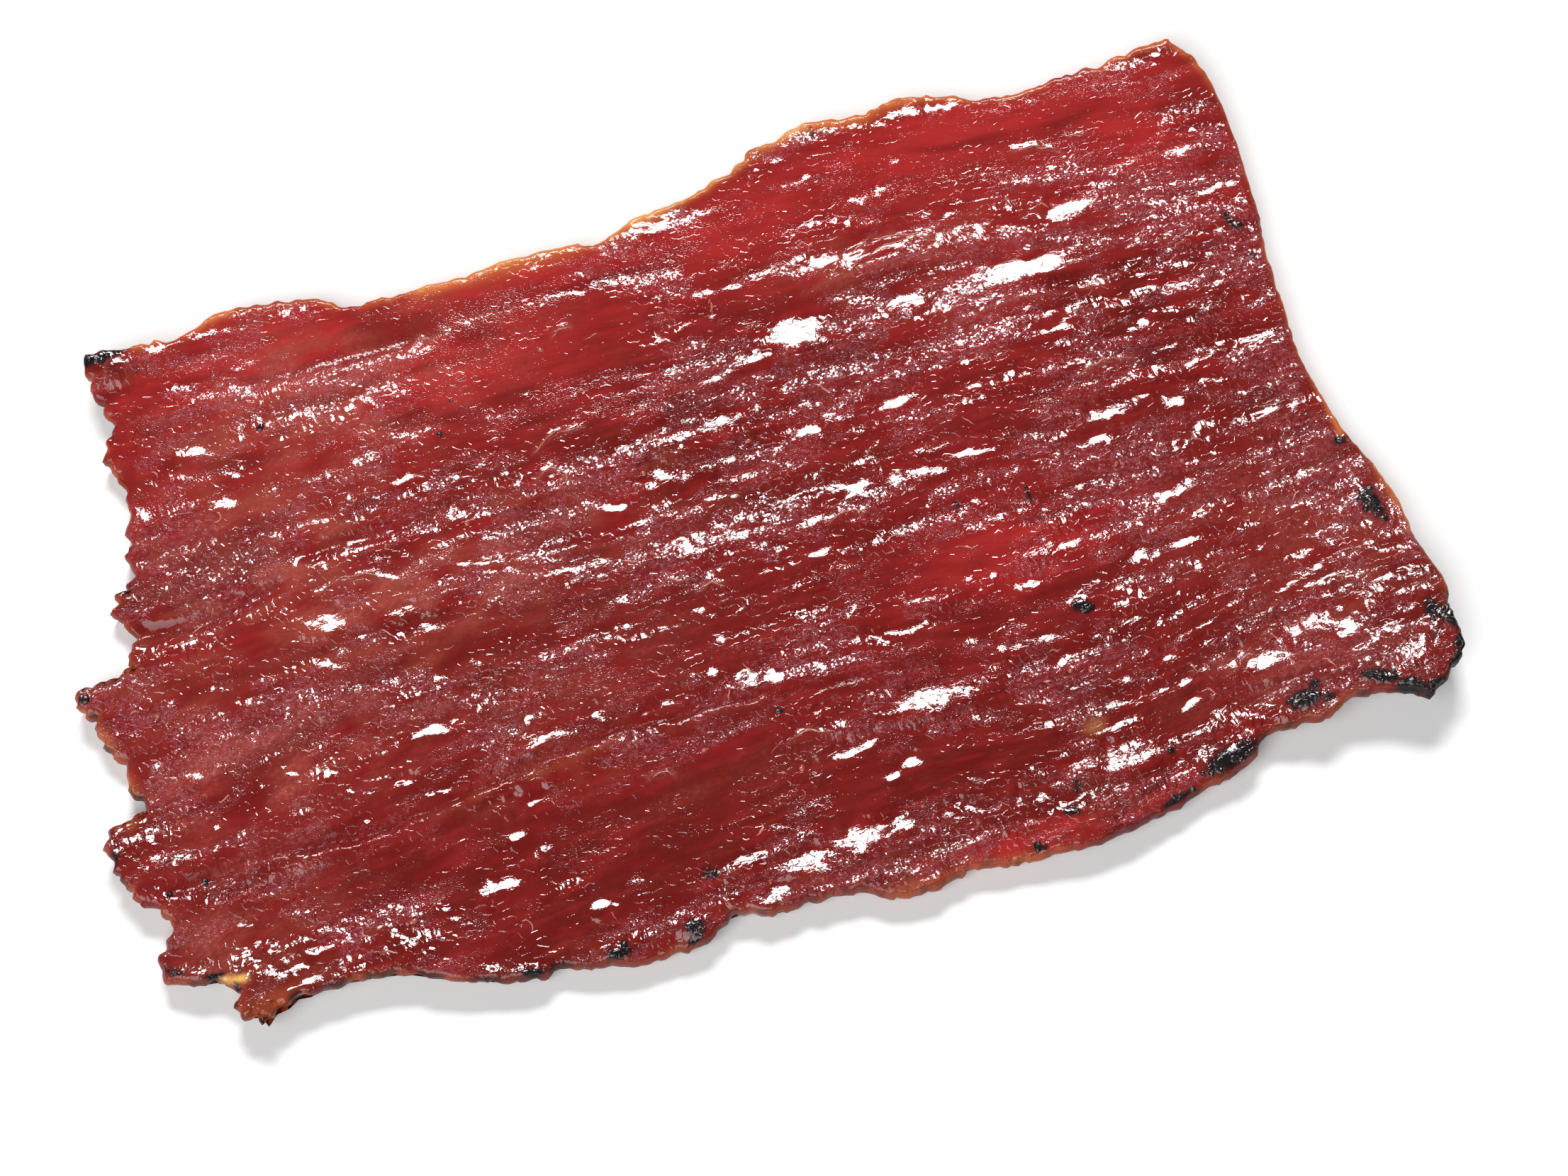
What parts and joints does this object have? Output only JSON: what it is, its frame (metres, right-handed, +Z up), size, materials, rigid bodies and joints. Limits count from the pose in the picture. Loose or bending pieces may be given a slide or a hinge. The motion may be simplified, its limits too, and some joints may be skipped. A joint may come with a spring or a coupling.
{
  "type": "beef jerky strip",
  "caption": "Broad thin slice of grilled and glazed jerky, an irregular four-sided sheet with grain ridges, a long fold, a ragged end and charred, slightly lifted corners.",
  "frame": {"origin": "middle of the bounding box, on the plane the slice lies on", "axes": "+X along the slice's length and its grain, towards the smooth straight end; +Y across it, towards the far side; +Z up out of the glazed face"},
  "size_m": [0.1644, 0.1046, 0.0063],
  "materials": {
    "glazed_meat": "wet glossy glaze over deep red-brown meat"
  },
  "bodies": {
    "root": {"jerky_slice": "glazed_meat"}
  },
  "joints": []
}
